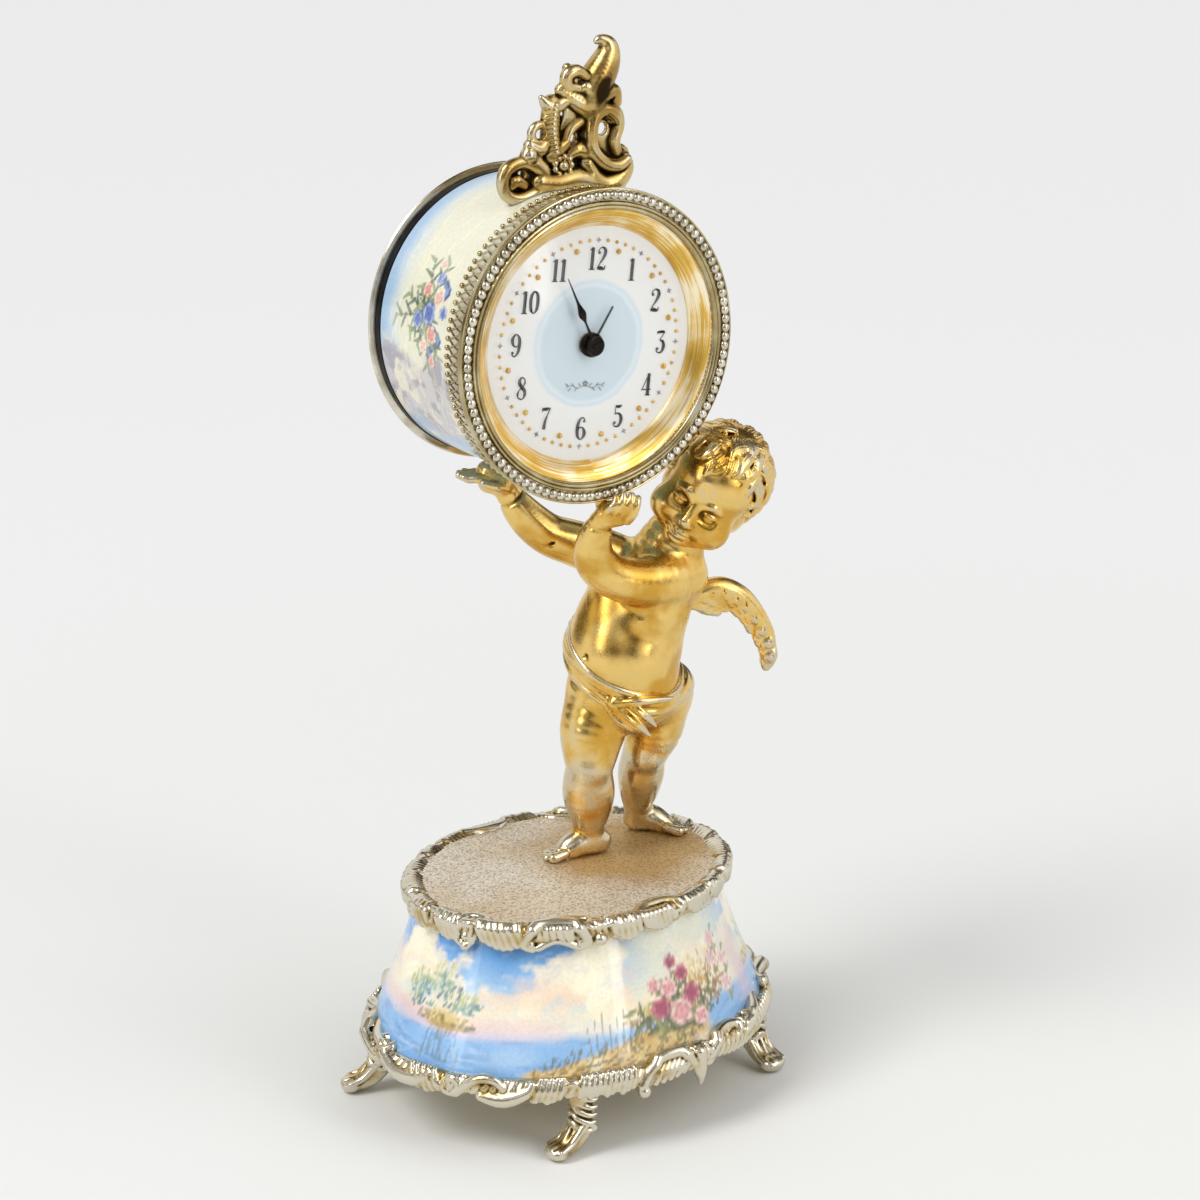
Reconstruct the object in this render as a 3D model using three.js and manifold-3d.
// Miniature drum clock carried by a gilt winged child on an oval enamel base.
// Millimetres, +Z up. The origin is under the middle of the base, on the table.
// The dial faces -Y. The figure and the oval are each turned about Z by an angle of their own.
import * as THREE from 'three';
import { mergeVertices } from 'three/addons/utils/BufferGeometryUtils.js';
import Module from 'manifold-3d';

const wasm = await Module();
wasm.setup();

// Clearances
const GAP = 0.3;             // between a piece and the seat that is cut for it
const ROUND = 30;            // facets round the drum and the oval
const INNER_ROUND = 22;      // facets round what the drum hides

// Oval base
const OVAL = 0.82;           // short axis over long axis
const BASE_TURN = 13;        // degrees about Z
const FOOT_HEIGHT = 10.2;
const FOOT_SPREAD = 48;      // degrees from the long axis to a foot, along the oval
const FOOT_SHIFT = 7;        // degrees that all four feet are shifted round the oval
const FOOT_WIDTH = 4.4;
const FOOT_REACH = 8.0;      // how far a toe stands out from its knee
const RIM_HALF = 36.5;       // half the long axis of the lower rim
const RIM_WALL = 5.4;
const RIM_LEDGE = 1.0;
const RIM_LIP = 2.0;         // how far the collar stands up round the enamel
const ENAMEL_WALL = 1.2;
const RIM_COLLAR = 1.8;      // the rim's wall outside the enamel
const ENAMEL_FOOT_HALF = RIM_HALF - RIM_COLLAR - GAP;
const ENAMEL_WAIST = 4.0;    // how far the enamel is drawn in at half its height
const ENAMEL_FLARE = 8.0;    // and at its top
const ENAMEL_MID_HALF = ENAMEL_FOOT_HALF - ENAMEL_WAIST;
const ENAMEL_TOP_HALF = ENAMEL_FOOT_HALF - ENAMEL_FLARE;
const ENAMEL_HEIGHT = 23.5;
const ENAMEL_FLANGE = 2.0;
const PLATE_THICK = 1.8;
const PLATE_BORDER = 1.5;    // how far the border stands out past the enamel
const BORDER_DROP = 2.2;
const FLOOR_THICK = 1.0;
const TIE_R = 1.3;
const TIE_NUT_R = 3.0;
const TIE_NUT_HEIGHT = 1.8;

// Figure, in its own axes: x to its left side, y to its back, z from the top plate
const FIGURE_TURN = -33.1;   // degrees about Z
const BODY_TURN = -30;       // degrees that the chest is turned inside those axes
const STUD_R = 0.8;
const STUD_LENGTH = 5.0;
const STUD_NUT_R = 1.9;
const STUD_NUT_HEIGHT = 1.3;
const WING_THICK = 1.4;
const WING_SPREAD = 10;      // degrees from the figure's x axis to the left wing
const CLOTH_THICK = 1.5;
const CLOTH_WIDTH = 4.4;
const CLOTH_SLANT = 8;       // degrees that the band slants down to the left hand side

// Drum, with its axis along Y
const DRUM_X = -1.1;
const DRUM_Z = 124.6;
const DRUM_FRONT = -11.4;
const SHELL_R = 22.6;
const SHELL_WALL = 1.0;
const SHELL_LENGTH = 22.7;
const BEZEL_R = SHELL_R + 1.9;
const BEZEL_THICK = 3.0;
const BEZEL_LIP = 0.6;
const GALLERY_R = SHELL_R + 1.4;
const GALLERY_WIDTH = 2.6;
const GLASS_THICK = 0.5;
const SIGHT_DEPTH = 2.0;
const SIGHT_SEAT = 1.3;
const DIAL_R = SHELL_R - 3.0;
const SIGHT_INNER_R = DIAL_R - 1.4;
const DIAL_THICK = 0.8;
const SEAT_RING_WIDTH = 1.1;
const BACK_RIM_R = SHELL_R + 1.6;
const BACK_RIM_WIDTH = 0.7;
const DOOR_R = SHELL_R - 1.4;
const DOOR_THICK = 1.2;
const DOOR_DOME = 0.7;
const KNUCKLE_R = 1.1;
const KNUCKLE_LENGTH = 2.4;
const HINGE_PIN_R = 0.4;
const DRUM_SCREW_R = 0.8;
const DRUM_SCREW_ANGLE = -17.8;  // degrees from straight down, towards the left hand side
const DRUM_SCREW_Y = 9.6;
const FINIAL_ANGLE = 7;      // degrees from straight up, towards the right hand side
const FINIAL_Y = 0.6;
const FINIAL_THICK = 4.2;
const FINIAL_STUD_R = 0.8;
const FINIAL_NUT_R = 1.9;

// Hands
const HAND_THICK = 0.3;
const MINUTE_LENGTH = 13.0;
const HOUR_LENGTH = 7.4;
const MINUTE_ANGLE = 336.5;  // degrees clockwise from the top of the drum
const HOUR_ANGLE = 34;
const HOUR_HUB_R = 2.0;
const MINUTE_HUB_R = 1.3;
const COLLET_R = 1.5;
const COLLET_THICK = 0.5;

// Movement
const MOVEMENT_R = DIAL_R - 1.6;
const MOVEMENT_PLATE = 1.2;
const CENTRE_PINION_LEVEL = 0.4;
const THIRD_LEVEL = 2.6;     // from the inside of the front plate to the third wheel, and so on
const ESCAPE_LEVEL = 3.5;
const CENTRE_LEVEL = 5.0;
const FOURTH_LEVEL = 6.3;
const PINION_LONG = 1.2;
const PIVOT_DEPTH = 0.8;     // how far a pivot goes into its plate
const MOVEMENT_SPACE = FOURTH_LEVEL + PINION_LONG + 0.1;  // between the two plates
const MOTION_SPACE = 3.5;    // between the dial and the front plate
const RING_WIDTH = 1.2;      // how far the ring goes on behind the front plate's face
const PILLAR_R = 1.2;
const PILLAR_CIRCLE = MOVEMENT_R - 1.7;
const PILLAR_ANGLES = [130, 255, 325];
const WHEEL_THICK = 0.4;
const ARBOR_R = 0.35;
const CENTRE_ARBOR_R = 0.45;
const BARREL_R = 6.6;
const BARREL_HEIGHT = 3.5;
const BARREL_ARBOR_R = 0.9;
const BARREL_ANGLE = 215;
const THIRD_ANGLE = 60;
const FOURTH_ANGLE = -40;
const ESCAPE_ANGLE = -70;
const LEVER_ANGLE = -125;
const ESCAPE_TO_LEVER = 3.6;
const LEVER_TO_BALANCE = 4.2;
const ESCAPE_R = 2.9;
const ESCAPE_TEETH = 15;
const BALANCE_R = 4.4;
const BALANCE_RIM = 0.8;
const BALANCE_THICK = 0.6;
const COCK_THICK = 0.9;
const COIL_INNER_R = 0.75;
const COIL_PITCH = 0.74;
const COIL_STRIP = 0.2;
const COIL_STEP = 36;        // degrees
const COIL_STEPS = 25;
const RATCHET_R = 3.4;
const RATCHET_THICK = 0.6;
const CLICK_POST_R = 0.4;
const RATCHET_TEETH = 18;
const CLICK_ARM = 3.2;
const CLICK_TURN = 43;       // degrees from the line to the ratchet, with the click lifted clear
const KEY_SPAN = 4.8;
const KEY_HEIGHT = 4.6;
const KEY_THICK = 1.2;
const KNOB_R = 2.4;
const KNOB_HEIGHT = 2.6;
const KNOB_STAND = 2.8;      // from the back plate to the knob
const CANNON_PIPE_R = CENTRE_ARBOR_R + GAP + 0.4;
const HOUR_PIPE_BORE = CANNON_PIPE_R + GAP;
const HOUR_PIPE_R = HOUR_PIPE_BORE + 0.4;

// Teeth: the counts and modules of each pair
const BARREL_TEETH = 48;
const CENTRE_LEAVES = 8;
const BARREL_MODULE = 0.3;
const CENTRE_TEETH = 48;
const THIRD_LEAVES = 6;
const CENTRE_MODULE = 0.28;
const THIRD_TEETH = 45;
const FOURTH_LEAVES = 6;
const THIRD_MODULE = 0.26;
const FOURTH_TEETH = 42;
const ESCAPE_LEAVES = 6;
const FOURTH_MODULE = 0.22;
const CANNON_TEETH = 10;
const MINUTE_TEETH = 30;
const CANNON_MODULE = 0.24;
const MINUTE_LEAVES = 8;
const HOUR_TEETH = 32;
const PRESSURE = 30;         // degrees
const TOOTH_SHARE = 0.42;    // tooth width over pitch
const ADDENDUM = 0.6;        // modules
const DEDENDUM = 0.8;        // modules
const POINTED_DEDENDUM = 1.2;  // modules
const MOST_LEAVES = 12;      // a pinion has flat-topped leaves, and a wheel with more teeth has pointed ones
const MINUTE_WHEEL_ANGLE = 20;

// Colours
const FINISH = {
  gilt: { color: 0xc9a24a, roughness: 0.3, metalness: 1 },
  silver: { color: 0xb9b09a, roughness: 0.35, metalness: 1 },
  matted: { color: 0xa99f8d, roughness: 0.6, metalness: 1 },
  skyEnamel: { color: 0xcfdbe2, roughness: 0.12, metalness: 0 },
  dialEnamel: { color: 0xf3f1ec, roughness: 0.15, metalness: 0 },
  glass: { color: 0xf4f8f8, roughness: 0.03, metalness: 0 },
  darkSteel: { color: 0x2b2522, roughness: 0.4, metalness: 1 },
  blackened: { color: 0x16161a, roughness: 0.5, metalness: 0.6 },
  brass: { color: 0xc7a457, roughness: 0.35, metalness: 1 },
  steel: { color: 0x9fa3a8, roughness: 0.3, metalness: 1 },
};

const rad = THREE.MathUtils.degToRad;
const clock = new THREE.Group();

// Solids

function weld(geometry) {
  const bare = geometry.clone();
  bare.deleteAttribute('normal');
  bare.deleteAttribute('uv');
  const merged = mergeVertices(bare, 1e-4);
  const old = merged.index.array;
  const kept = [];
  for (let i = 0; i < old.length; i += 3) {
    const [a, b, c] = [old[i], old[i + 1], old[i + 2]];
    if (a !== b && b !== c && c !== a) kept.push(a, b, c);
  }
  merged.setIndex(signedVolume(merged, kept) < 0 ? reversed(kept) : kept);
  return merged;
}

function signedVolume(geometry, index) {
  const p = geometry.attributes.position;
  const corner = (i) => new THREE.Vector3().fromBufferAttribute(p, i);
  let sum = 0;
  for (let i = 0; i < index.length; i += 3) {
    sum += corner(index[i]).dot(corner(index[i + 1]).cross(corner(index[i + 2])));
  }
  return sum / 6;
}

function reversed(index) {
  const turned = [];
  for (let i = 0; i < index.length; i += 3) turned.push(index[i], index[i + 2], index[i + 1]);
  return turned;
}

function toSolid(geometry) {
  const g = weld(geometry);
  return new wasm.Manifold(new wasm.Mesh({
    numProp: 3,
    vertProperties: new Float32Array(g.attributes.position.array),
    triVerts: new Uint32Array(g.index.array),
  }));
}

function toGeometry(solid) {
  const mesh = solid.getMesh();
  const geometry = new THREE.BufferGeometry();
  geometry.setAttribute('position', new THREE.BufferAttribute(new Float32Array(mesh.vertProperties), 3));
  geometry.setIndex(Array.from(mesh.triVerts));
  return geometry;
}

function join(...pieces) {
  return toGeometry(pieces.map(toSolid).reduce((a, b) => a.add(b)));
}

function cut(piece, ...tools) {
  return toGeometry(tools.map(toSolid).reduce((a, b) => a.subtract(b), toSolid(piece)));
}

function addPiece(name, geometry, finish) {
  const welded = weld(geometry);
  welded.computeVertexNormals();
  const mesh = new THREE.Mesh(welded, new THREE.MeshStandardMaterial(FINISH[finish]));
  mesh.name = name;
  clock.add(mesh);
}

// A profile of [radius, height] points turned about Z
function turnedZ(profile, facets = ROUND) {
  const points = profile.map(([r, z]) => new THREE.Vector2(r, z));
  return new THREE.LatheGeometry(points, facets).rotateX(Math.PI / 2);
}

// A closed ring profile turned about Z
function ringZ(profile, facets = ROUND) {
  return turnedZ([...profile, profile[0]], facets);
}

// A profile of [radius, y] points turned about the drum's own axis
function turnedY(profile, facets = ROUND) {
  return new THREE.LatheGeometry(profile.map(([r, y]) => new THREE.Vector2(r, y)), facets);
}

function ringY(profile, facets = ROUND) {
  return turnedY([...profile, profile[0]], facets);
}

// A rod along Y from one depth to another, at a place in the drum's face
function rodY(x, z, r, from, to, facets = 10) {
  return turnedY([[0, from], [r, from], [r, to], [0, to]], facets).translate(x, 0, z);
}

function tubeY(x, z, inner, outer, from, to, facets = 14) {
  return ringY([[inner, from], [outer, from], [outer, to], [inner, to]], facets).translate(x, 0, z);
}

function rodZ(x, y, r, from, to, facets = 12) {
  return turnedZ([[0, from], [r, from], [r, to], [0, to]], facets).translate(x, y, 0);
}

// An outline in the drum's face, [x, z] points, given a thickness along Y
function slabY(points, from, to, holes = []) {
  const shape = new THREE.Shape(points.map(([x, z]) => new THREE.Vector2(x, z)));
  for (const hole of holes) shape.holes.push(new THREE.Path(hole.map(([x, z]) => new THREE.Vector2(x, z))));
  const slab = new THREE.ExtrudeGeometry(shape, { depth: to - from, bevelEnabled: false });
  return slab.rotateX(Math.PI / 2).translate(0, to, 0);
}

function circlePoints(x, z, r, count) {
  return Array.from({ length: count }, (_, i) => {
    const a = (2 * Math.PI * i) / count;
    return [x + r * Math.cos(a), z + r * Math.sin(a)];
  });
}

function polar(r, degrees) {
  return [r * Math.cos(rad(degrees)), r * Math.sin(rad(degrees))];
}

// Places a geometry made about the drum's axis
function onDrum(geometry) {
  return geometry.translate(DRUM_X, 0, DRUM_Z);
}

// Turns an oval piece with the base
function onOval(geometry) {
  return geometry.scale(1, OVAL, 1).rotateZ(rad(BASE_TURN));
}

function ovalPlace(half, degrees) {
  const [x, y] = polar(half, degrees);
  return new THREE.Vector3(x, y * OVAL, 0).applyAxisAngle(new THREE.Vector3(0, 0, 1), rad(BASE_TURN));
}

// Base

const RIM_TOP = FOOT_HEIGHT + RIM_LEDGE;
const ENAMEL_TOP = RIM_TOP + ENAMEL_HEIGHT;
const PLATE_TOP = ENAMEL_TOP + PLATE_THICK;
const STUD_HOLE_R = STUD_R + GAP;
const ankleOne = figurePoint(1.4, 4.9, 0);
const ankleTwo = figurePoint(14.2, 16.2, 0);

function figurePoint(x, y, z) {
  return new THREE.Vector3(x, y, z + PLATE_TOP).applyAxisAngle(new THREE.Vector3(0, 0, 1), rad(FIGURE_TURN));
}

function makeRim() {
  const inner = RIM_HALF - RIM_WALL;
  const seat = ENAMEL_FOOT_HALF + GAP;
  const lip = RIM_TOP + RIM_LIP;
  addPiece('foot_frame', onOval(ringZ([
    [inner, FOOT_HEIGHT], [RIM_HALF - 0.8, FOOT_HEIGHT], [RIM_HALF, FOOT_HEIGHT + 0.9],
    [RIM_HALF, lip - 0.8], [RIM_HALF - 0.6, lip], [seat, lip], [seat, RIM_TOP], [inner, RIM_TOP],
  ])), 'silver');
}

// A scroll foot: a knee under the rim, a waist, and a toe that turns out on the table
function makeFoot(name, degrees) {
  const h = FOOT_HEIGHT;
  const toe = FOOT_REACH;
  const shape = new THREE.Shape();
  shape.moveTo(-2.6, h);
  shape.quadraticCurveTo(-1.2, h * 0.55, 0.2, h * 0.3);
  shape.quadraticCurveTo(toe * 0.35, 0.1, toe * 0.62, 0);
  shape.lineTo(toe * 0.85, 0);
  shape.quadraticCurveTo(toe * 1.05, 0.5, toe, 1.6);
  shape.quadraticCurveTo(toe * 0.75, 2.2, toe * 0.55, 3.2);
  shape.quadraticCurveTo(toe * 0.32, h * 0.55, 2.4, h);
  const side = new THREE.ExtrudeGeometry(shape, { depth: FOOT_WIDTH, bevelEnabled: false, curveSegments: 5 });
  side.translate(0, 0, -FOOT_WIDTH / 2).rotateX(Math.PI / 2);
  const place = ovalPlace(RIM_HALF - RIM_WALL / 2, degrees);
  const out = Math.atan2(place.y, place.x);
  addPiece(name, side.rotateZ(out).translate(place.x, place.y, 0), 'silver');
}

function makeFeet() {
  const names = ['foot_back', 'foot_left', 'foot_front', 'foot_right'];
  const places = [FOOT_SPREAD, 180 - FOOT_SPREAD, 180 + FOOT_SPREAD, -FOOT_SPREAD];
  names.forEach((name, i) => makeFoot(name, places[i] + FOOT_SHIFT));
}

// The flared enamel body: its side is a smooth curve through the foot, the middle and the top
function enamelSide(inset) {
  const curve = new THREE.SplineCurve([
    new THREE.Vector2(ENAMEL_FOOT_HALF - 0.2, RIM_TOP),
    new THREE.Vector2(ENAMEL_FOOT_HALF, RIM_TOP + ENAMEL_HEIGHT * 0.1),
    new THREE.Vector2(ENAMEL_MID_HALF, RIM_TOP + ENAMEL_HEIGHT * 0.5),
    new THREE.Vector2(ENAMEL_TOP_HALF, ENAMEL_TOP - 1.2),
  ]);
  return curve.getPoints(5).map((p) => [p.x - inset, p.y]);
}

function makeEnamelBase() {
  const outside = enamelSide(0);
  const inside = enamelSide(ENAMEL_WALL).filter((_, i) => i % 2 === 1).reverse();
  const flange = ENAMEL_TOP_HALF - ENAMEL_FLANGE;
  const bottom = ENAMEL_FOOT_HALF - ENAMEL_WALL - 0.2;
  const body = onOval(ringZ([
    ...outside, [ENAMEL_TOP_HALF, ENAMEL_TOP], [flange, ENAMEL_TOP], [flange, ENAMEL_TOP - 1.2], ...inside,
    [bottom, RIM_TOP],
  ]));
  // On a smaller oval the flange would reach the stud nuts, so it has a room for each of them.
  const low = ENAMEL_TOP - STUD_NUT_HEIGHT - GAP;
  const rooms = [ankleOne, ankleTwo].map((p) => rodZ(p.x, p.y, STUD_NUT_R + GAP, low, ENAMEL_TOP + 1, 6));
  addPiece('enamel_base', cut(body, ...rooms), 'skyEnamel');
}

function makeTopPlate() {
  const edge = ENAMEL_TOP_HALF + PLATE_BORDER;
  const under = ENAMEL_TOP - BORDER_DROP;
  const plate = onOval(turnedZ([
    [0, ENAMEL_TOP], [ENAMEL_TOP_HALF + 0.6, ENAMEL_TOP], [ENAMEL_TOP_HALF + 1.0, under], [edge - 0.2, under],
    [edge, ENAMEL_TOP - 0.6], [edge - 0.6, PLATE_TOP - 0.5], [edge - 2.4, PLATE_TOP], [0, PLATE_TOP],
  ]));
  const holes = [ankleOne, ankleTwo].map((p) => rodZ(p.x, p.y, STUD_HOLE_R, ENAMEL_TOP - 1, PLATE_TOP + 1));
  addPiece('top_plate', cut(plate, ...holes), 'matted');
}

function nut(x, y, r, bore, from, to) {
  return cut(rodZ(x, y, r, from, to, 6), rodZ(x, y, bore, from - 1, to + 1));
}

function makeBaseFixings() {
  const floorHalf = ENAMEL_FOOT_HALF - ENAMEL_WALL - 0.2 - GAP;
  const floorTop = RIM_TOP + FLOOR_THICK;
  const floor = onOval(turnedZ([[0, RIM_TOP], [floorHalf, RIM_TOP], [floorHalf, floorTop], [0, floorTop]]));
  const bore = TIE_R + GAP;
  addPiece('base_floor', cut(floor, rodZ(0, 0, bore, RIM_TOP - 1, floorTop + 1)), 'silver');
  const nutBottom = RIM_TOP - TIE_NUT_HEIGHT;
  addPiece('tie_rod', rodZ(0, 0, TIE_R, nutBottom - 0.6, ENAMEL_TOP), 'steel');
  addPiece('tie_nut', nut(0, 0, TIE_NUT_R, bore, nutBottom, RIM_TOP), 'brass');
  const low = ENAMEL_TOP - STUD_NUT_HEIGHT;
  const studNut = (p) => nut(p.x, p.y, STUD_NUT_R, STUD_HOLE_R, low, ENAMEL_TOP);
  addPiece('figure_nut_front', studNut(ankleOne), 'brass');
  addPiece('figure_nut_back', studNut(ankleTwo), 'brass');
}

// Figure

// An egg shape about a point of the figure, with its long axes turned by an angle about Z
function egg(x, y, z, rx, ry, rz, turn = BODY_TURN, grow = 0) {
  const ball = new THREE.SphereGeometry(1.03, 10, 6).rotateX(Math.PI / 2);
  ball.scale(rx + grow, ry + grow, rz + grow).rotateZ(rad(FIGURE_TURN + turn));
  const p = figurePoint(x, y, z);
  return ball.translate(p.x, p.y, p.z);
}

// A tapered capsule between two [x, y, z, radius] stations of the figure, its facets as stout as a round limb
function segment(a, b, grow, facets) {
  const from = figurePoint(a[0], a[1], a[2]);
  const to = figurePoint(b[0], b[1], b[2]);
  const along = to.clone().sub(from);
  const length = along.length();
  const swell = Math.sqrt((2 * Math.PI / facets) / Math.sin(2 * Math.PI / facets));
  const [ra, rb] = [(a[3] + grow) * swell, (b[3] + grow) * swell];
  const tilt = Math.asin(THREE.MathUtils.clamp((ra - rb) / length, -0.9, 0.9));
  const profile = [new THREE.Vector2(0, -ra)];
  for (const step of [0.5, 1]) {
    const angle = -Math.PI / 2 + step * (Math.PI / 2 + tilt);
    profile.push(new THREE.Vector2(ra * Math.cos(angle), ra * Math.sin(angle)));
  }
  for (const step of [0, 0.5]) {
    const angle = tilt + step * (Math.PI / 2 - tilt);
    profile.push(new THREE.Vector2(rb * Math.cos(angle), length + rb * Math.sin(angle)));
  }
  profile.push(new THREE.Vector2(0, length + rb));
  const lathe = new THREE.LatheGeometry(profile, facets);
  const turn = new THREE.Quaternion().setFromUnitVectors(new THREE.Vector3(0, 1, 0), along.normalize());
  return lathe.applyQuaternion(turn).translate(from.x, from.y, from.z);
}

function limb(stations, grow = 0, facets = 8) {
  return stations.slice(1).map((b, i) => segment(stations[i], b, grow, facets));
}

const HANG = DRUM_Z - PLATE_TOP;         // the drum's axis over the top plate
const PALM = HANG - SHELL_R - 2.1;       // and the flat hand under it
const RIGHT_SHOULDER = [9.2, 9.0, 47.4, 4.0];
const LEFT_SHOULDER = [19.2, 5.4, 46.6, 4.1];
const RIGHT_LEG = [[6.0, 5.6, 25.5, 5.4], [4.6, 4.4, 20.6, 5.0], [3.9, 3.5, 16.2, 3.8],
  [4.4, 4.8, 11.2, 4.1], [5.0, 6.4, 4.0, 2.6]];
const RIGHT_FOOT = [[5.2, 7.0, 1.9, 2.1], [1.6, 4.9, 1.6, 2.1], [-1.4, 3.3, 0.9, 1.6]];
const LEFT_LEG = [[14.2, 9.2, 24.8, 5.6], [13.2, 9.6, 19.6, 4.9], [12.4, 11.2, 14.6, 3.8],
  [12.2, 13.6, 9.6, 4.0], [11.8, 16.6, 3.6, 2.5]];
const LEFT_FOOT = [[11.2, 17.0, 1.8, 2.0], [14.4, 16.2, 1.5, 2.0], [17.4, 15.4, 0.9, 1.4]];
const NECK = [[15.6, 7.2, 46.8, 4.0], [20.2, 7.0, 53.4, 3.5]];
const RIGHT_ARM = [[6.6, 8.4, 48.8, 3.4], [-3.2, 6.4, 53.4, 3.2], [-9.4, 4.4, PALM - 3.6, 2.3],
  [-12.4, 3.6, PALM - 0.8, 2.1]];
const LEFT_ARM = [[16.4, 2.8, 46.9, 3.9], [12.4, 0.2, 47.3, 3.9], [5.6, -3.4, 48.6, 3.3],
  [4.0, -7.0, PALM - 6.8, 2.3], [6.6, -8.3, PALM - 3.6, 2.3]];
const LEFT_GRIP = [[6.6, -8.3, PALM - 3.6, 2.1], [9.2, -9.8, PALM - 1.4, 1.3], [9.5, -9.4, PALM + 1.2, 0.8]];

function chestShapes(grow) {
  return [
    egg(12.6, 7.2, 42.6, 8.2, 6.2, 7.4, BODY_TURN, grow),
    egg(9.6, 6.0, 35.0, 8.2, 7.3, 8.2, BODY_TURN, grow),
    ...limb([RIGHT_SHOULDER, LEFT_SHOULDER], grow),
  ];
}

function hipShapes(grow) {
  return [
    egg(9.9, 7.6, 27.0, 9.0, 7.4, 6.0, BODY_TURN, grow),
    egg(12.2, 11.6, 25.6, 7.0, 5.2, 5.4, BODY_TURN, grow),
    ...limb(RIGHT_LEG.slice(0, 2), grow), ...limb(LEFT_LEG.slice(0, 2), grow),
  ];
}

function belowPlate() {
  return new THREE.BoxGeometry(200, 200, 20).translate(0, 0, PLATE_TOP - 10);
}

function makeFigureBody() {
  const legs = [RIGHT_LEG.slice(1), LEFT_LEG.slice(1), RIGHT_FOOT, LEFT_FOOT].flatMap((way) => limb(way));
  const flesh = join(...chestShapes(0), ...hipShapes(0), ...limb(NECK), ...legs);
  const foot = PLATE_TOP - STUD_LENGTH;
  const studs = [ankleOne, ankleTwo].map((p) => rodZ(p.x, p.y, STUD_R, foot, PLATE_TOP + 1));
  addPiece('figure_body', join(cut(flesh, belowPlate()), ...studs), 'gilt');
}

function makeHead() {
  const skull = egg(24.2, 7.6, 62.4, 7.9, 8.2, 8.0, 0);
  const face = egg(22.2, 4.6, 59.8, 6.2, 5.6, 6.6, -20);
  const hair = egg(26.2, 8.0, 65.2, 6.6, 7.4, 6.2, 20);
  const neck = limb(NECK, GAP);
  addPiece('figure_head', cut(join(skull, face, hair), ...neck, ...drumKeepOut()), 'gilt');
}

// Everything of the drum that a hand comes near, grown by the clearance
function drumKeepOut() {
  const back = DRUM_FRONT + BEZEL_THICK + GALLERY_WIDTH + 2 * GAP;
  const bezel = rodY(0, 0, BEZEL_R + GAP, DRUM_FRONT - GAP, back, ROUND);
  const shell = rodY(0, 0, SHELL_R + GAP, back - 1, back + SHELL_LENGTH + 10, ROUND);
  return [onDrum(bezel), onDrum(shell)];
}

function drumScrewRod(r, from, to, facets = 12) {
  const rod = rodZ(0, DRUM_SCREW_Y, r, -to, -from, facets);
  return onDrum(rod.rotateY(rad(-DRUM_SCREW_ANGLE)));
}

function makeArms() {
  const body = [...chestShapes(GAP), ...limb(NECK, GAP)];
  const palm = egg(-13.0, 3.4, PALM, 3.4, 2.4, 1.7, 20);
  const fingers = [[-14.2, 4.2, PALM + 0.6, 0.9], [-17.0, 4.4, PALM + 2.0, 0.7]];
  const right = join(...limb(RIGHT_ARM), palm, ...limb(fingers, 0, 5));
  const bore = drumScrewRod(DRUM_SCREW_R + GAP, SHELL_R - 2, SHELL_R + 3.2);
  addPiece('right_arm', cut(right, ...body, ...drumKeepOut(), bore), 'gilt');
  const left = join(...limb(LEFT_ARM), ...limb(LEFT_GRIP, 0, 6));
  addPiece('left_arm', cut(left, ...body, ...drumKeepOut()), 'gilt');
}

// A wing is a thin blade of feathers under a thicker leading edge
function makeWing(name, x, y, degrees) {
  const blade = [[-0.6, 44.6], [3.2, 45.4], [7.4, 44.6], [10.8, 41.6], [13.0, 36.8], [13.8, 31.4],
    [11.6, 33.6], [10.2, 36.4], [7.4, 37.6], [4.2, 38.2], [1.2, 38.6], [-0.6, 40.0]];
  const slab = slabY(blade, -WING_THICK / 2, WING_THICK / 2);
  slab.rotateZ(rad(degrees)).translate(x, y, PLATE_TOP).rotateZ(rad(FIGURE_TURN));
  const [c, s] = [Math.cos(rad(degrees)), Math.sin(rad(degrees))];
  const edge = [[0, 43.6, 1.3], [4.4, 44.2, 1.3], [9.4, 41.6, 1.2], [12.4, 36.4, 0.8]];
  const rod = limb(edge.map(([u, z, r]) => [x + u * c, y + u * s, z, r]), 0, 6);
  addPiece(name, cut(join(slab, ...rod), ...chestShapes(GAP)), 'gilt');
}

function makeWings() {
  makeWing('wing_left', 18.6, 10.6, WING_SPREAD);
  makeWing('wing_right', 12.4, 13.4, 180 + 2 * BODY_TURN - WING_SPREAD);
}

// The loincloth: a band that hugs the hips between two slanting planes, and a flap that hangs from it
function makeDrapery() {
  const slab = new THREE.BoxGeometry(60, 60, CLOTH_WIDTH);
  slab.rotateY(rad(CLOTH_SLANT)).rotateZ(rad(FIGURE_TURN));
  const middle = figurePoint(10.6, 8.7, 27.6);
  slab.translate(middle.x, middle.y, middle.z);
  const outside = hipShapes(GAP + CLOTH_THICK).map(toSolid).reduce((a, b) => a.add(b));
  const band = toGeometry(outside.intersect(toSolid(slab)));
  const flap = limb([[9.6, -0.6, 26.8, 1.6], [11.4, -1.0, 24.0, 1.5], [13.0, -0.6, 20.6, 0.9]], 0, 6);
  const flesh = [...hipShapes(GAP), ...chestShapes(GAP), ...limb(RIGHT_LEG, GAP), ...limb(LEFT_LEG, GAP)];
  addPiece('drapery', cut(join(band, ...flap), ...flesh), 'gilt');
}

// Drum case. Depths along Y, from the front backwards

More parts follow.
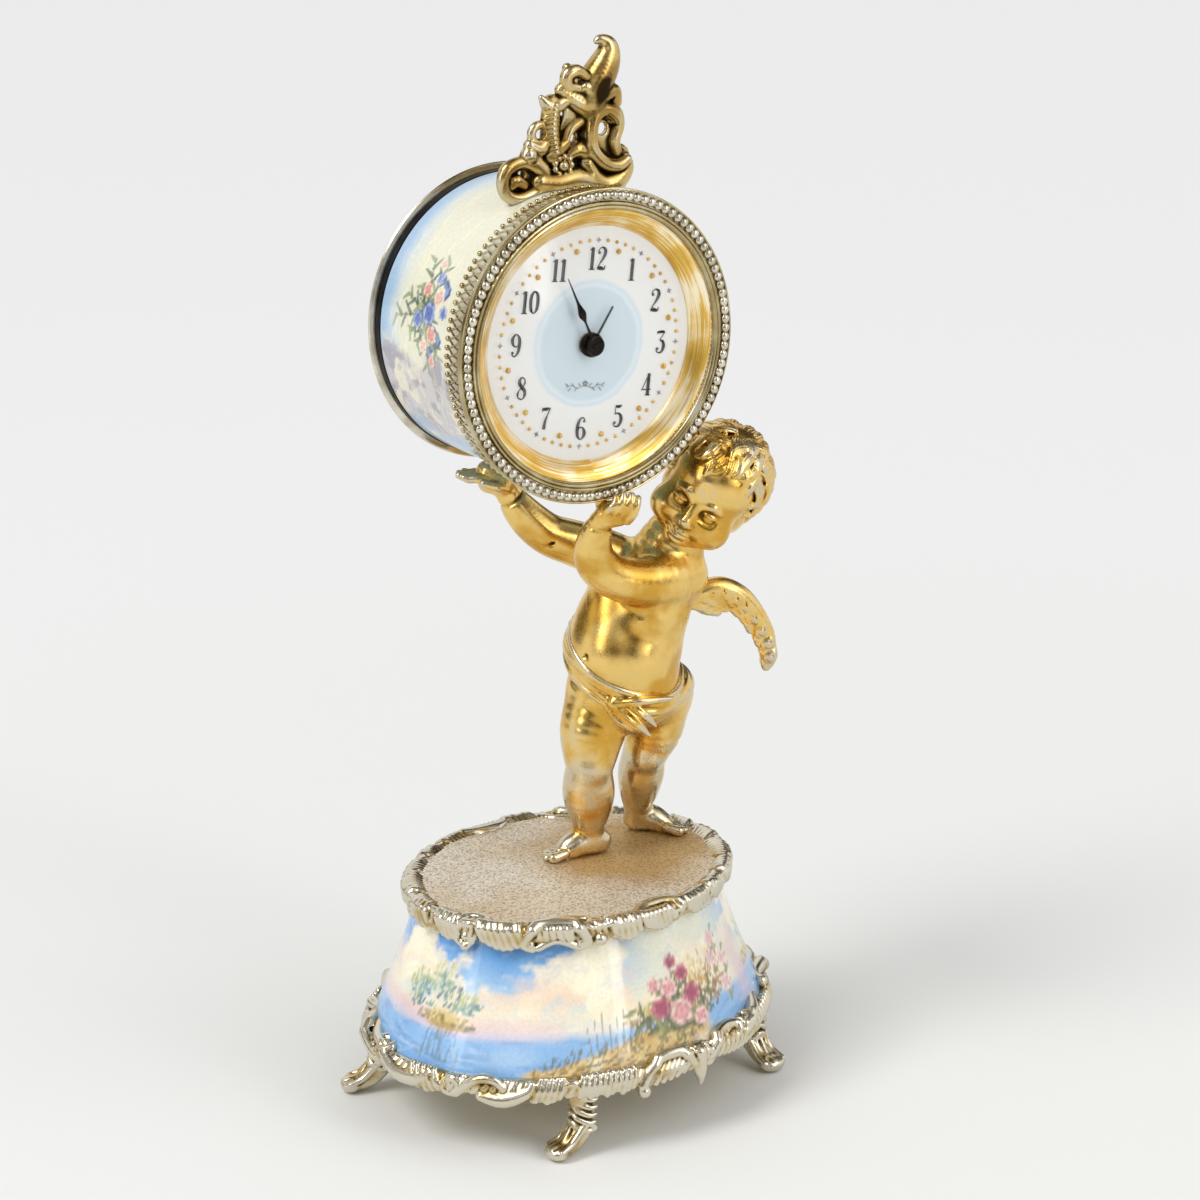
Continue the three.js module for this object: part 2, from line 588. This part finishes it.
const BEZEL_BACK = DRUM_FRONT + BEZEL_THICK;
const SHELL_FRONT = BEZEL_BACK + GAP;
const SHELL_BACK = SHELL_FRONT + SHELL_LENGTH;
const SHELL_INNER = SHELL_R - SHELL_WALL;
const LINER_R = SHELL_INNER - GAP;          // what slides into the shell
const GLASS_FRONT = DRUM_FRONT + GAP;
const GLASS_BACK = GLASS_FRONT + GLASS_THICK;
const SIGHT_FRONT = GLASS_BACK + GAP;
const SIGHT_FOOT = SIGHT_FRONT + SIGHT_DEPTH;
const DIAL_FRONT = SIGHT_FOOT + GAP;
const DIAL_BACK = DIAL_FRONT + DIAL_THICK;
const SIGHT_BACK = SIGHT_FOOT + SIGHT_SEAT;
const FRONT_PLATE = DIAL_BACK + MOTION_SPACE;
const TRAIN_FRONT = FRONT_PLATE + MOVEMENT_PLATE;
const TRAIN_BACK = TRAIN_FRONT + MOVEMENT_SPACE;
const BACK_PLATE_BACK = TRAIN_BACK + MOVEMENT_PLATE;
const SEAT_FRONT = SHELL_BACK + GAP;
const SEAT_BACK = SEAT_FRONT + SEAT_RING_WIDTH;
const RIM_FRONT = SEAT_BACK + GAP;
const RIM_BACK = RIM_FRONT + BACK_RIM_WIDTH;
const HINGE_X = BACK_RIM_R + 0.9;
const HINGE_Y = RIM_BACK + KNUCKLE_R;

// A rod that points from the drum's axis out through the top, at the finial's angle
function finialRod(r, from, to, facets = 12) {
  return rodZ(0, FINIAL_Y, r, from, to, facets).rotateY(rad(FINIAL_ANGLE));
}

function makeShell() {
  const tube = tubeY(0, 0, SHELL_INNER, SHELL_R, SHELL_FRONT, SHELL_BACK, ROUND);
  const top = finialRod(FINIAL_STUD_R + GAP, SHELL_INNER - 2, SHELL_R + 2);
  const under = drumScrewRod(DRUM_SCREW_R + GAP, SHELL_INNER - 2, SHELL_R + 2);
  addPiece('drum_shell', cut(onDrum(cut(tube, top)), under), 'skyEnamel');
}

function makeBezel() {
  const lip = LINER_R - BEZEL_LIP;
  addPiece('front_bezel', onDrum(ringY([
    [lip, DRUM_FRONT], [BEZEL_R - 0.5, DRUM_FRONT], [BEZEL_R, DRUM_FRONT + 0.6], [BEZEL_R, BEZEL_BACK],
    [SHELL_INNER, BEZEL_BACK], [SHELL_INNER, GLASS_FRONT + 0.05], [lip, DRUM_FRONT + GAP * 0.5],
  ])), 'silver');
  addPiece('gallery_ring', onDrum(ringY([
    [SHELL_R + GAP, SHELL_FRONT], [GALLERY_R, SHELL_FRONT],
    [GALLERY_R, SHELL_FRONT + GALLERY_WIDTH], [SHELL_R + GAP, SHELL_FRONT + GALLERY_WIDTH],
  ])), 'silver');
  addPiece('crystal', onDrum(turnedY([
    [0, GLASS_FRONT], [LINER_R, GLASS_FRONT], [LINER_R, GLASS_BACK], [0, GLASS_BACK],
  ])), 'glass');
  addPiece('sight_ring', onDrum(ringY([
    [SIGHT_INNER_R, SIGHT_FOOT], [LINER_R - 0.3, SIGHT_FRONT], [LINER_R, SIGHT_FRONT], [LINER_R, SIGHT_BACK],
    [DIAL_R + GAP, SIGHT_BACK], [DIAL_R + GAP, SIGHT_FOOT],
  ])), 'gilt');
}

function makeDial() {
  const plate = tubeY(0, 0, HOUR_PIPE_R + GAP, DIAL_R, DIAL_FRONT, DIAL_BACK, ROUND);
  addPiece('dial', onDrum(plate), 'dialEnamel');
}

function makeBack() {
  const seat = tubeY(0, 0, DOOR_R - 0.8, SHELL_R, SEAT_FRONT, SEAT_BACK, INNER_ROUND);
  addPiece('back_seat_ring', onDrum(seat), 'blackened');
  const rim = tubeY(0, 0, DOOR_R + GAP, BACK_RIM_R, RIM_FRONT, RIM_BACK, ROUND);
  const half = KNUCKLE_LENGTH / 2;
  const knuckle = (low, high) => rodZ(HINGE_X, HINGE_Y, KNUCKLE_R, low, high, 10);
  const lug = (low, high) => {
    const [x0, x1] = [BACK_RIM_R - 1.6, HINGE_X];
    const [y0, y1] = [RIM_FRONT + 0.1, HINGE_Y];
    return new THREE.BoxGeometry(x1 - x0, y1 - y0, high - low)
      .translate((x0 + x1) / 2, (y0 + y1) / 2, (low + high) / 2);
  };
  const bore = rodZ(HINGE_X, HINGE_Y, HINGE_PIN_R + GAP, -20, 20, 10);
  const rimLugs = [[half + GAP, 3 * half], [-3 * half, -half - GAP]];
  const rimSolid = join(rim, ...rimLugs.flatMap(([a, b]) => [knuckle(a, b), lug(a, b)]));
  addPiece('back_rim', onDrum(cut(rimSolid, bore)), 'silver');
  const dome = RIM_FRONT + DOOR_THICK;
  const door = turnedY([[0, RIM_FRONT], [DOOR_R, RIM_FRONT], [DOOR_R, dome - 0.6], [DOOR_R - 0.8, dome],
    [DOOR_R * 0.6, dome + DOOR_DOME * 0.8], [0, dome + DOOR_DOME]]);
  const strapLength = HINGE_X - DOOR_R + 1.8;
  const strap = new THREE.BoxGeometry(strapLength, HINGE_Y - RIM_BACK - GAP + 0.2, KNUCKLE_LENGTH)
    .translate(HINGE_X - strapLength / 2, (HINGE_Y + RIM_BACK + GAP + 0.2) / 2, 0);
  addPiece('back_door', onDrum(cut(join(door, strap, knuckle(-half, half)), bore)), 'silver');
  addPiece('door_hinge_pin', onDrum(rodZ(HINGE_X, HINGE_Y, HINGE_PIN_R, -3.3 * half, 3.3 * half)), 'steel');
}

// The crest on the drum: a pierced scroll plate with a saddle that follows the shell
function makeFinial() {
  const saddle = SHELL_R + GAP;
  const foot = [];
  for (let a = 31; a >= -26; a -= 6) foot.push(polar(saddle, 90 - a));
  const crest = [[-10.6, 0.6], [-9.8, 3.0], [-7.8, 4.8], [-7.2, 8.4], [-5.2, 10.6], [-3.6, 14.0],
    [-0.4, 14.6], [0.8, 17.2], [3.0, 17.4], [4.4, 15.4], [6.0, 18.0], [6.4, 21.0],
    [5.8, 22.6], [8.0, 22.8], [9.8, 20.6], [10.2, 16.4],
    [9.2, 13.0], [11.2, 10.4], [11.8, 7.0], [10.8, 4.6], [13.2, 2.2], [13.6, -0.4]]
    .map(([x, up]) => [x, SHELL_R + up]);
  const holes = [[2.2, 7.8, 1.8], [8.2, 7.8, 1.6], [-6.4, 2.3, 1.1]]
    .map(([x, up, r]) => circlePoints(x, SHELL_R + up, r, 8));
  const [from, to] = [FINIAL_Y - FINIAL_THICK / 2, FINIAL_Y + FINIAL_THICK / 2];
  const plate = slabY([...foot, ...crest], from, to, holes);
  const stud = finialRod(FINIAL_STUD_R, SHELL_INNER - 2.4, saddle + 2);
  addPiece('finial', onDrum(join(plate, stud)), 'gilt');
  const nutTop = SHELL_INNER - GAP;
  const body = finialRod(FINIAL_NUT_R, nutTop - 1.4, nutTop, 6);
  addPiece('finial_nut', onDrum(cut(body, finialRod(FINIAL_STUD_R + GAP, nutTop - 3, nutTop + 2))), 'brass');
}

function makeDrumScrew() {
  const head = drumScrewRod(1.9, SHELL_INNER - 1.5, SHELL_INNER - GAP, 12);
  const shank = drumScrewRod(DRUM_SCREW_R, SHELL_INNER - 1, SHELL_R + 2.6);
  addPiece('drum_screw', join(head, shank), 'steel');
}

// Gear wheels

// The outline of a wheel with one tooth centred on the given angle. Leaves stay inside an involute, and
// pointed teeth have straight flanks that meet at the bottom of each gap.
function gearOutline(teeth, module, phase, pointed) {
  const pitch = (teeth * module) / 2;
  const base = pitch * Math.cos(rad(PRESSURE));
  const tip = pitch + ADDENDUM * module;
  const root = pitch - DEDENDUM * module;
  const involute = (r) => {
    const angle = Math.acos(Math.min(1, base / r));
    return Math.tan(angle) - angle;
  };
  const halfTooth = (Math.PI * TOOTH_SHARE) / teeth;
  const widest = halfTooth + involute(pitch);
  const leaf = [[root, widest - involute(Math.max(base, root))], [tip, widest - involute(tip)]];
  if (root < base) leaf.splice(1, 0, [base, widest]);
  const points = [];
  for (let t = 0; t < teeth; t++) {
    const middle = rad(phase) + (2 * Math.PI * t) / teeth;
    const at = (r, angle) => points.push([r * Math.cos(middle + angle), r * Math.sin(middle + angle)]);
    if (pointed) {
      at(pitch - POINTED_DEDENDUM * module, -Math.PI / teeth);
      at(tip, 0);
    } else {
      leaf.forEach(([r, angle]) => at(r, -angle));
      [...leaf].reverse().forEach(([r, angle]) => at(r, angle));
    }
  }
  return points;
}

function gear([x, z], teeth, module, phase, from, thick, bore = 0) {
  const outline = gearOutline(teeth, module, phase, teeth > MOST_LEAVES);
  const holes = bore > 0 ? [circlePoints(0, 0, bore, 10)] : [];
  return slabY(outline, from, from + thick, holes).translate(x, 0, z);
}

function meshDistance(teethA, teethB, module) {
  return ((teethA + teethB) * module) / 2;
}

function stepFrom([x, z], distance, degrees) {
  const [dx, dz] = polar(distance, degrees);
  return [x + dx, z + dz];
}

const CENTRE = [0, 0];
const BARREL = stepFrom(CENTRE, meshDistance(BARREL_TEETH, CENTRE_LEAVES, BARREL_MODULE), BARREL_ANGLE);
const THIRD = stepFrom(CENTRE, meshDistance(CENTRE_TEETH, THIRD_LEAVES, CENTRE_MODULE), THIRD_ANGLE);
const FOURTH = stepFrom(THIRD, meshDistance(THIRD_TEETH, FOURTH_LEAVES, THIRD_MODULE), FOURTH_ANGLE);
const ESCAPE = stepFrom(FOURTH, meshDistance(FOURTH_TEETH, ESCAPE_LEAVES, FOURTH_MODULE), ESCAPE_ANGLE);
const LEVER = stepFrom(ESCAPE, ESCAPE_TO_LEVER, LEVER_ANGLE);
const BALANCE = stepFrom(LEVER, LEVER_TO_BALANCE, LEVER_ANGLE);
const MOTION_DISTANCE = meshDistance(CANNON_TEETH, MINUTE_TEETH, CANNON_MODULE);
const MINUTE_POST = stepFrom(CENTRE, MOTION_DISTANCE, MINUTE_WHEEL_ANGLE);
const HOUR_MODULE = (2 * MOTION_DISTANCE) / (MINUTE_LEAVES + HOUR_TEETH);
const CLICK_POST = stepFrom(BARREL, RATCHET_R + CLICK_ARM * 0.62, 118);

// Depths of the wheels between the plates
const CENTRE_PINION_Y = TRAIN_FRONT + CENTRE_PINION_LEVEL;
const CENTRE_WHEEL_Y = TRAIN_FRONT + CENTRE_LEVEL;
const THIRD_WHEEL_Y = TRAIN_FRONT + THIRD_LEVEL;
const FOURTH_WHEEL_Y = TRAIN_FRONT + FOURTH_LEVEL;
const ESCAPE_WHEEL_Y = TRAIN_FRONT + ESCAPE_LEVEL;
const PIVOT_FRONT = TRAIN_FRONT - PIVOT_DEPTH;
const PIVOT_BACK = TRAIN_BACK + PIVOT_DEPTH;

// Depths outside the plates
const CANNON_Y = FRONT_PLATE - GAP - WHEEL_THICK;
const HOUR_WHEEL_Y = CANNON_Y - 1.3;
const HOUR_HAND_Y = DIAL_FRONT - 1.1;
const MINUTE_HAND_Y = HOUR_HAND_Y - 0.8;
const RATCHET_Y = BACK_PLATE_BACK + GAP;
const BALANCE_Y = BACK_PLATE_BACK + 0.6;
const COCK_Y = BALANCE_Y + 2.0;

function facing(from, to) {
  return THREE.MathUtils.radToDeg(Math.atan2(to[1] - from[1], to[0] - from[0]));
}

// The tooth angle that puts a gap of the second wheel on the line to the first
function gapPhase(from, to, teeth) {
  return facing(to, from) + 180 / teeth;
}

function arborHoles(from, to) {
  const small = [THIRD, FOURTH, ESCAPE, LEVER].map((p) => rodY(p[0], p[1], ARBOR_R + GAP, from, to));
  return [...small, rodY(0, 0, CENTRE_ARBOR_R + GAP, from, to),
    rodY(BARREL[0], BARREL[1], BARREL_ARBOR_R + GAP, from, to)];
}

function makePlates() {
  const ringFront = SIGHT_BACK + GAP;
  const ringBack = FRONT_PLATE + RING_WIDTH;
  const ring = tubeY(0, 0, MOVEMENT_R + GAP, LINER_R, ringFront, ringBack, INNER_ROUND);
  addPiece('movement_ring', onDrum(ring), 'brass');
  const disc = rodY(0, 0, MOVEMENT_R, FRONT_PLATE, TRAIN_FRONT, INNER_ROUND);
  const pillars = PILLAR_ANGLES.map((a) => polar(PILLAR_CIRCLE, a))
    .map(([x, z]) => rodY(x, z, PILLAR_R, TRAIN_FRONT - 0.4, TRAIN_BACK));
  const post = rodY(MINUTE_POST[0], MINUTE_POST[1], 0.5, HOUR_WHEEL_Y, FRONT_PLATE + 0.4);
  const blank = join(disc, ...pillars, post);
  const [before, behind] = [FRONT_PLATE - 1, TRAIN_FRONT + 1];
  const balancePivot = rodY(...BALANCE, ARBOR_R + GAP, before, behind);
  addPiece('front_plate', onDrum(cut(blank, balancePivot, ...arborHoles(before, behind))), 'brass');
  const back = rodY(0, 0, MOVEMENT_R, TRAIN_BACK, BACK_PLATE_BACK, INNER_ROUND);
  const clickPost = rodY(...CLICK_POST, CLICK_POST_R, BACK_PLATE_BACK - 0.4, RATCHET_Y + RATCHET_THICK + 0.3);
  const staffHole = rodY(BALANCE[0], BALANCE[1], 0.9, TRAIN_BACK - 1, BACK_PLATE_BACK + 1);
  addPiece('back_plate', onDrum(cut(join(back, clickPost), staffHole,
    ...arborHoles(TRAIN_BACK - 1, BACK_PLATE_BACK + 1))), 'brass');
}

function makeBarrel() {
  const [x, z] = BARREL;
  const toothY = CENTRE_PINION_Y + 0.2;
  const rim = gear(BARREL, BARREL_TEETH, BARREL_MODULE, facing(BARREL, CENTRE), toothY, 0.6);
  const drum = rodY(x, z, BARREL_R, toothY + 0.3, toothY + BARREL_HEIGHT, INNER_ROUND);
  const bore = rodY(x, z, BARREL_ARBOR_R + GAP, toothY - 1, toothY + BARREL_HEIGHT + 1);
  addPiece('mainspring_barrel', onDrum(cut(join(rim, drum), bore)), 'brass');
  const round = rodY(x, z, BARREL_ARBOR_R, FRONT_PLATE + 0.2, RATCHET_Y + 1.6);
  const square = rodY(x, z, BARREL_ARBOR_R, RATCHET_Y + 1.4, RATCHET_Y + 3.6, 4);
  addPiece('barrel_arbor', onDrum(join(round, square)), 'steel');
}

function makeWinding() {
  const [x, z] = BARREL;
  const step = 360 / RATCHET_TEETH;
  const teeth = [];
  for (let i = 0; i < RATCHET_TEETH; i++) {
    teeth.push(polar(RATCHET_R - 0.5, i * step), polar(RATCHET_R, i * step + 1.5));
  }
  const bore = circlePoints(0, 0, BARREL_ARBOR_R + GAP, 12);
  const ratchet = slabY(teeth, RATCHET_Y, RATCHET_Y + RATCHET_THICK, [bore]);
  addPiece('ratchet_wheel', onDrum(ratchet.translate(x, 0, z)), 'steel');
  const click = [[-0.9, -0.9], [0.9, -0.9], [1.0, 0.6], [0.7, CLICK_ARM * 0.5], [-0.1, CLICK_ARM],
    [-0.9, 0.9]];
  const turn = facing(CLICK_POST, BARREL) - 90 + CLICK_TURN;
  const clickHole = circlePoints(0, 0, CLICK_POST_R + GAP - 0.05, 10);
  const pawl = slabY(click, RATCHET_Y, RATCHET_Y + RATCHET_THICK, [clickHole]);
  pawl.rotateY(-rad(turn)).translate(CLICK_POST[0], 0, CLICK_POST[1]);
  addPiece('click', onDrum(pawl), 'steel');
  const low = RATCHET_Y + 1.9;
  const hub = rodY(x, z, 1.9, low, low + 2.2, 12);
  const wings = new THREE.BoxGeometry(2 * KEY_SPAN, KEY_HEIGHT, KEY_THICK);
  wings.translate(x, low + 0.8 + KEY_HEIGHT / 2, z);
  const socket = rodY(x, z, BARREL_ARBOR_R + GAP, low - 1, RATCHET_Y + 3.9, 12);
  addPiece('winding_key', onDrum(cut(join(hub, wings), socket)), 'brass');
}

function wheelAndPinion(place, wheel, pinion) {
  return [gear(place, ...wheel), gear(place, ...pinion)];
}

// The thin arbor of a wheel, with its two pivots in the plates
function pivotedArbor([x, z]) {
  return rodY(x, z, ARBOR_R, PIVOT_FRONT, PIVOT_BACK, 8);
}

function makeTrain() {
  const tube = tubeY(0, 0, CENTRE_ARBOR_R + GAP, 0.98, CENTRE_PINION_Y, CENTRE_WHEEL_Y + 0.5, 10);
  const bore = rodY(0, 0, CENTRE_ARBOR_R + GAP, TRAIN_FRONT - 1, TRAIN_BACK + 1);
  const centre = wheelAndPinion(CENTRE,
    [CENTRE_TEETH, CENTRE_MODULE, facing(CENTRE, THIRD), CENTRE_WHEEL_Y, WHEEL_THICK],
    [CENTRE_LEAVES, BARREL_MODULE, gapPhase(BARREL, CENTRE, CENTRE_LEAVES), CENTRE_PINION_Y, 1.0]);
  addPiece('centre_wheel', onDrum(cut(join(tube, ...centre), bore)), 'brass');
  const third = wheelAndPinion(THIRD,
    [THIRD_TEETH, THIRD_MODULE, facing(THIRD, FOURTH), THIRD_WHEEL_Y, WHEEL_THICK],
    [THIRD_LEAVES, CENTRE_MODULE, gapPhase(CENTRE, THIRD, THIRD_LEAVES), CENTRE_WHEEL_Y - 0.4, PINION_LONG]);
  addPiece('third_wheel', onDrum(join(pivotedArbor(THIRD), ...third)), 'brass');
  const fourth = wheelAndPinion(FOURTH,
    [FOURTH_TEETH, FOURTH_MODULE, facing(FOURTH, ESCAPE), FOURTH_WHEEL_Y, WHEEL_THICK],
    [FOURTH_LEAVES, THIRD_MODULE, gapPhase(THIRD, FOURTH, FOURTH_LEAVES), THIRD_WHEEL_Y - 0.4, PINION_LONG]);
  addPiece('fourth_wheel', onDrum(join(pivotedArbor(FOURTH), ...fourth)), 'brass');
  const teeth = [];
  for (let i = 0; i < ESCAPE_TEETH; i++) {
    const a = (360 * i) / ESCAPE_TEETH;
    teeth.push(polar(ESCAPE_R - 0.8, a - 7), polar(ESCAPE_R, a), polar(ESCAPE_R, a + 2.5));
  }
  const star = slabY(teeth, ESCAPE_WHEEL_Y, ESCAPE_WHEEL_Y + WHEEL_THICK).translate(ESCAPE[0], 0, ESCAPE[1]);
  const leaves = gear(ESCAPE, ESCAPE_LEAVES, FOURTH_MODULE, gapPhase(FOURTH, ESCAPE, ESCAPE_LEAVES),
    FOURTH_WHEEL_Y - 0.4, PINION_LONG);
  addPiece('escape_wheel', onDrum(join(pivotedArbor(ESCAPE), star, leaves)), 'steel');
}

function makeEscapement() {
  const y = ESCAPE_WHEEL_Y;
  const fork = LEVER_TO_BALANCE - 1.0 - GAP;
  const lever = [[-2.0, 1.1], [-1.7, 0.2], [-0.7, -0.6], [-0.35, -fork], [0.35, -fork], [0.7, -0.6],
    [1.7, 0.2], [2.0, 1.1], [1.3, 0.5], [0, 0.55], [-1.3, 0.5]];
  const body = slabY(lever, y, y + WHEEL_THICK).rotateY(-rad(facing(LEVER, ESCAPE) - 90));
  addPiece('pallet_lever', onDrum(join(body.translate(LEVER[0], 0, LEVER[1]), pivotedArbor(LEVER))), 'steel');
  const [x, z] = BALANCE;
  const balanceBack = BALANCE_Y + BALANCE_THICK;
  const ring = tubeY(x, z, BALANCE_R - BALANCE_RIM, BALANCE_R, BALANCE_Y, balanceBack, INNER_ROUND);
  const arm = new THREE.BoxGeometry(2 * BALANCE_R - 1, BALANCE_THICK, 0.8);
  arm.translate(x, BALANCE_Y + BALANCE_THICK / 2, z);
  const staff = rodY(x, z, ARBOR_R, PIVOT_FRONT, COCK_Y + 0.5, 8);
  const roller = rodY(x, z, 1.0, y, y + WHEEL_THICK, 12);
  addPiece('balance_wheel', onDrum(join(ring, arm, staff, roller)), 'brass');
  const springY = balanceBack + GAP;
  const outside = [];
  const inside = [];
  for (let i = 0; i <= COIL_STEPS; i++) {
    const r = COIL_INNER_R + (COIL_PITCH * i * COIL_STEP) / 360;
    outside.push(polar(r, i * COIL_STEP));
    inside.unshift(polar(r - COIL_STRIP, i * COIL_STEP));
  }
  const spring = slabY([...outside, ...inside], springY, springY + 0.4).translate(x, 0, z);
  addPiece('hairspring', onDrum(spring), 'steel');
  const out = facing([0, 0], BALANCE);
  const [fx, fz] = stepFrom(BALANCE, BALANCE_R + 1.3, out);
  const bridge = slabY([[-1.6, -1.4], [BALANCE_R + 2.2, -1.6], [BALANCE_R + 2.2, 1.6], [-1.6, 1.4]],
    COCK_Y, COCK_Y + COCK_THICK).rotateY(-rad(out)).translate(x, 0, z);
  const foot = rodY(fx, fz, 0.9, BACK_PLATE_BACK, COCK_Y + 0.3, 12);
  const hole = rodY(x, z, ARBOR_R + GAP, COCK_Y - 1, COCK_Y + COCK_THICK + 1);
  addPiece('balance_cock', onDrum(cut(join(bridge, foot), hole)), 'brass');
}

function makeMotionWork() {
  const bore = CENTRE_ARBOR_R + GAP;
  const knobY = BACK_PLATE_BACK + KNOB_STAND;
  const arbor = rodY(0, 0, CENTRE_ARBOR_R, MINUTE_HAND_Y + 2 * HAND_THICK, knobY);
  addPiece('centre_arbor', onDrum(arbor), 'steel');
  addPiece('setting_knob', onDrum(rodY(0, 0, KNOB_R, knobY, knobY + KNOB_HEIGHT, 16)), 'brass');
  const tube = tubeY(0, 0, bore, CANNON_PIPE_R, MINUTE_HAND_Y + HAND_THICK, CANNON_Y + WHEEL_THICK, 12);
  const toMinute = facing(CENTRE, MINUTE_POST);
  const leaves = gear(CENTRE, CANNON_TEETH, CANNON_MODULE, toMinute, CANNON_Y, WHEEL_THICK, bore);
  addPiece('cannon_pinion', onDrum(join(tube, leaves)), 'steel');
  const minute = gear(MINUTE_POST, MINUTE_TEETH, CANNON_MODULE, gapPhase(CENTRE, MINUTE_POST, MINUTE_TEETH),
    CANNON_Y, WHEEL_THICK, 0.8);
  const minutePinion = gear(MINUTE_POST, MINUTE_LEAVES, HOUR_MODULE, facing(MINUTE_POST, CENTRE),
    HOUR_WHEEL_Y - 0.2, CANNON_Y - HOUR_WHEEL_Y + 0.4, 0.0);
  const post = rodY(...MINUTE_POST, 0.8, HOUR_WHEEL_Y - 2, FRONT_PLATE);
  addPiece('minute_wheel', onDrum(cut(join(minute, minutePinion), post)), 'brass');
  const hour = gear(CENTRE, HOUR_TEETH, HOUR_MODULE, gapPhase(MINUTE_POST, CENTRE, HOUR_TEETH),
    HOUR_WHEEL_Y, WHEEL_THICK, HOUR_PIPE_BORE);
  const pipe = tubeY(0, 0, HOUR_PIPE_BORE, HOUR_PIPE_R, HOUR_HAND_Y + HAND_THICK, HOUR_WHEEL_Y + WHEEL_THICK);
  addPiece('hour_wheel', onDrum(join(hour, pipe)), 'brass');
}

// A slender pear-shaped hand that points up and is then turned clockwise
function handOutline(length, hubR, pearAt, pearR) {
  const right = [[0.16, pearAt + 3 * pearR], [pearR * 0.6, pearAt + pearR], [pearR, pearAt - 0.4 * pearR],
    [0.2, pearAt - 2 * pearR], [0.28, hubR * 0.8]];
  const left = right.map(([x, z]) => [-x, z]).reverse();
  return [...left, [0, length], ...right];
}

function makeHands() {
  const hourBack = HOUR_HAND_Y + HAND_THICK;
  const hourHub = tubeY(0, 0, HOUR_PIPE_BORE, HOUR_HUB_R, HOUR_HAND_Y, hourBack);
  const hourBlade = slabY(handOutline(HOUR_LENGTH, HOUR_HUB_R, 4.0, 0.35), HOUR_HAND_Y, hourBack);
  addPiece('hour_hand', onDrum(join(hourHub, hourBlade).rotateY(rad(HOUR_ANGLE))), 'darkSteel');
  const minuteBack = MINUTE_HAND_Y + HAND_THICK;
  const minuteHub = rodY(0, 0, MINUTE_HUB_R, MINUTE_HAND_Y, minuteBack, 16);
  const minuteBlade = slabY(handOutline(MINUTE_LENGTH, MINUTE_HUB_R, 5.6, 0.8), MINUTE_HAND_Y, minuteBack);
  addPiece('minute_hand', onDrum(join(minuteHub, minuteBlade).rotateY(rad(MINUTE_ANGLE))), 'darkSteel');
  const collet = rodY(0, 0, COLLET_R, MINUTE_HAND_Y - COLLET_THICK, MINUTE_HAND_Y, 20);
  addPiece('hand_collet', onDrum(collet), 'darkSteel');
}

makeRim();
makeFeet();
makeEnamelBase();
makeTopPlate();
makeBaseFixings();
makeFigureBody();
makeHead();
makeArms();
makeWings();
makeDrapery();
makeShell();
makeBezel();
makeDial();
makeBack();
makeFinial();
makeDrumScrew();
makePlates();
makeBarrel();
makeWinding();
makeTrain();
makeEscapement();
makeMotionWork();
makeHands();

export default clock;
